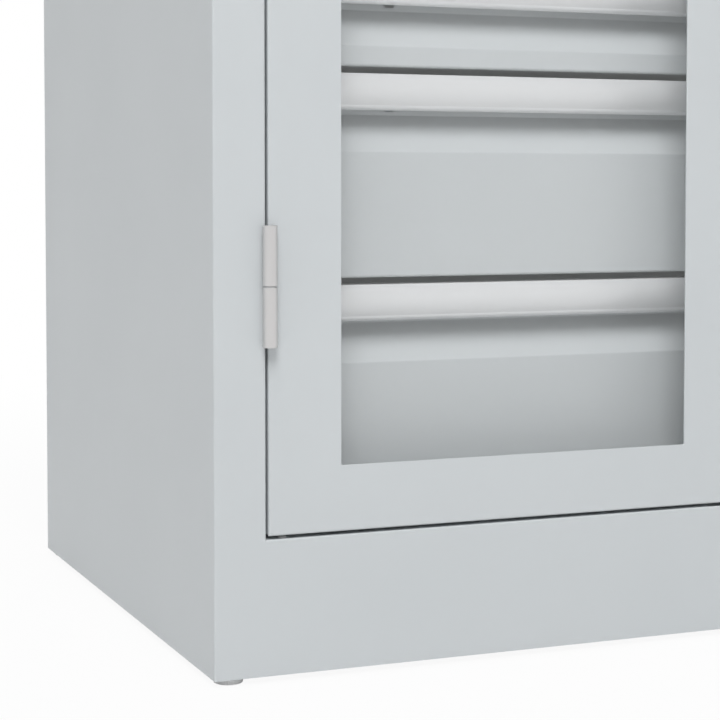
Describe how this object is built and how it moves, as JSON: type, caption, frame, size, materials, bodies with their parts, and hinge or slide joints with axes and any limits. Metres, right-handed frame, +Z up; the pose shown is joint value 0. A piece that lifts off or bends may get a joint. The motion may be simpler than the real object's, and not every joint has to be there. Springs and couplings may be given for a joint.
{
  "type": "storage cabinet",
  "caption": "Folded sheet-steel storage cabinet with hinged window doors, pull-out drawers with full-width grip strips, a compartment above them, a plinth and levelling feet.",
  "frame": {"origin": "on the floor, in the middle of the outline of carcass and handle", "axes": "+X to the right along the front, +Y into the depth, +Z up; the doors face -Y"},
  "size_m": [1, 0.634, 1],
  "materials": {
    "body_paint": "light grey satin powder coat",
    "drawer_paint": "light grey satin powder coat",
    "grip_metal": "satin anodised",
    "hinge_steel": "pale coated steel",
    "zinc_steel": "zinc plated",
    "pane": "clear, polished",
    "foot_plastic": "grey, matte",
    "glide_plastic": "pale grey, matte",
    "handle_plastic": "dark grey, fine grain",
    "lock_metal": "nickel plated"
  },
  "bodies": {
    "cabinet": {"back_panel": "body_paint", "cabinet_rails": "zinc_steel", "door_glides": "glide_plastic", "door_sill": "body_paint", "floor_panel": "body_paint", "foot_nuts": "zinc_steel", "foot_plates": "body_paint", "hinge_frame_barrels": "hinge_steel", "hinge_pins": "zinc_steel", "hinge_washers": "zinc_steel", "left_side_panel": "body_paint", "lid": "body_paint", "plinth_panel": "body_paint", "rail_pillars": "body_paint", "rail_screws": "zinc_steel", "rear_base_rail": "body_paint", "right_side_panel": "body_paint", "shelf": "body_paint", "shelf_brackets": "body_paint", "top_rail": "body_paint"},
    "left_door": {"left_door_leaf": "body_paint", "left_door_pane": "pane", "left_door_pane_retainer": "body_paint", "left_door_retainer_screws": "zinc_steel", "left_door_hinge_barrels": "hinge_steel", "left_door_bolt_guides": "zinc_steel"},
    "upper_bolt": {"left_door_upper_bolt": "zinc_steel"},
    "lower_bolt": {"left_door_lower_bolt": "zinc_steel"},
    "right_door": {"right_door_leaf": "body_paint", "right_door_pane": "pane", "right_door_pane_retainer": "body_paint", "right_door_retainer_screws": "zinc_steel", "right_door_hinge_barrels": "hinge_steel", "lock_escutcheon": "lock_metal"},
    "handle": {"turn_handle": "handle_plastic", "lock_spindle": "zinc_steel", "lock_tongue": "zinc_steel"},
    "lock_core": {"key_cylinder": "lock_metal"},
    "drawer_1": {"drawer_1_tray": "drawer_paint", "drawer_1_front": "drawer_paint", "drawer_1_grip": "grip_metal", "drawer_1_rails": "zinc_steel"},
    "drawer_2": {"drawer_2_tray": "drawer_paint", "drawer_2_front": "drawer_paint", "drawer_2_grip": "grip_metal", "drawer_2_rails": "zinc_steel"},
    "drawer_3": {"drawer_3_tray": "drawer_paint", "drawer_3_front": "drawer_paint", "drawer_3_grip": "grip_metal", "drawer_3_rails": "zinc_steel"},
    "drawer_4": {"drawer_4_tray": "drawer_paint", "drawer_4_front": "drawer_paint", "drawer_4_grip": "grip_metal", "drawer_4_rails": "zinc_steel"},
    "front_left_leveller": {"front_left_foot": "foot_plastic"},
    "front_right_leveller": {"front_right_foot": "foot_plastic"},
    "rear_left_leveller": {"rear_left_foot": "foot_plastic"},
    "rear_right_leveller": {"rear_right_foot": "foot_plastic"}
  },
  "joints": [
    {"name": "left_door_swing", "type": "hinge", "parent": "cabinet", "child": "left_door", "pos_m": [-0.45445, -0.2895, 0.3218], "axis": [0, 0, -1], "range_deg": [0, 180]},
    {"name": "right_door_swing", "type": "hinge", "parent": "cabinet", "child": "right_door", "pos_m": [0.45445, -0.2895, 0.3218], "axis": [0, 0, 1], "range_deg": [0, 180]},
    {"name": "upper_bolt_slide", "type": "slide", "parent": "left_door", "child": "upper_bolt", "axis": [0, 0, 1], "range_m": [0, 0.014]},
    {"name": "lower_bolt_slide", "type": "slide", "parent": "left_door", "child": "lower_bolt", "axis": [0, 0, -1], "range_m": [0, 0.014]},
    {"name": "handle_turn", "type": "hinge", "parent": "right_door", "child": "handle", "pos_m": [0.033, -0.283, 0.53955], "axis": [0, -1, 0], "range_deg": [0, 90]},
    {"name": "key_turn", "type": "hinge", "parent": "handle", "child": "lock_core", "pos_m": [0.033, -0.283, 0.53955], "axis": [0, -1, 0], "range_deg": [0, 90]},
    {"name": "drawer_1_slide", "type": "slide", "parent": "cabinet", "child": "drawer_1", "axis": [0, -1, 0], "range_m": [0, 0.33]},
    {"name": "drawer_2_slide", "type": "slide", "parent": "cabinet", "child": "drawer_2", "axis": [0, -1, 0], "range_m": [0, 0.33]},
    {"name": "drawer_3_slide", "type": "slide", "parent": "cabinet", "child": "drawer_3", "axis": [0, -1, 0], "range_m": [0, 0.33]},
    {"name": "drawer_4_slide", "type": "slide", "parent": "cabinet", "child": "drawer_4", "axis": [0, -1, 0], "range_m": [0, 0.33]},
    {"name": "front_left_foot_turn", "type": "hinge", "parent": "cabinet", "child": "front_left_leveller", "pos_m": [-0.483, -0.266, 0], "axis": [0, 0, 1], "continuous": true},
    {"name": "front_right_foot_turn", "type": "hinge", "parent": "cabinet", "child": "front_right_leveller", "pos_m": [0.483, -0.266, 0], "axis": [0, 0, 1], "continuous": true},
    {"name": "rear_left_foot_turn", "type": "hinge", "parent": "cabinet", "child": "rear_left_leveller", "pos_m": [-0.483, 0.3, 0], "axis": [0, 0, 1], "continuous": true},
    {"name": "rear_right_foot_turn", "type": "hinge", "parent": "cabinet", "child": "rear_right_leveller", "pos_m": [0.483, 0.3, 0], "axis": [0, 0, 1], "continuous": true}
  ],
  "couplings": [
    {"joint": "right_door_swing", "follows": "left_door_swing", "ratio": 1},
    {"joint": "drawer_1_slide", "follows": "left_door_swing", "m_per_rad": 0.10504},
    {"joint": "drawer_2_slide", "follows": "left_door_swing", "m_per_rad": 0.10504},
    {"joint": "drawer_3_slide", "follows": "left_door_swing", "m_per_rad": 0.10504},
    {"joint": "drawer_4_slide", "follows": "left_door_swing", "m_per_rad": 0.10504}
  ]
}
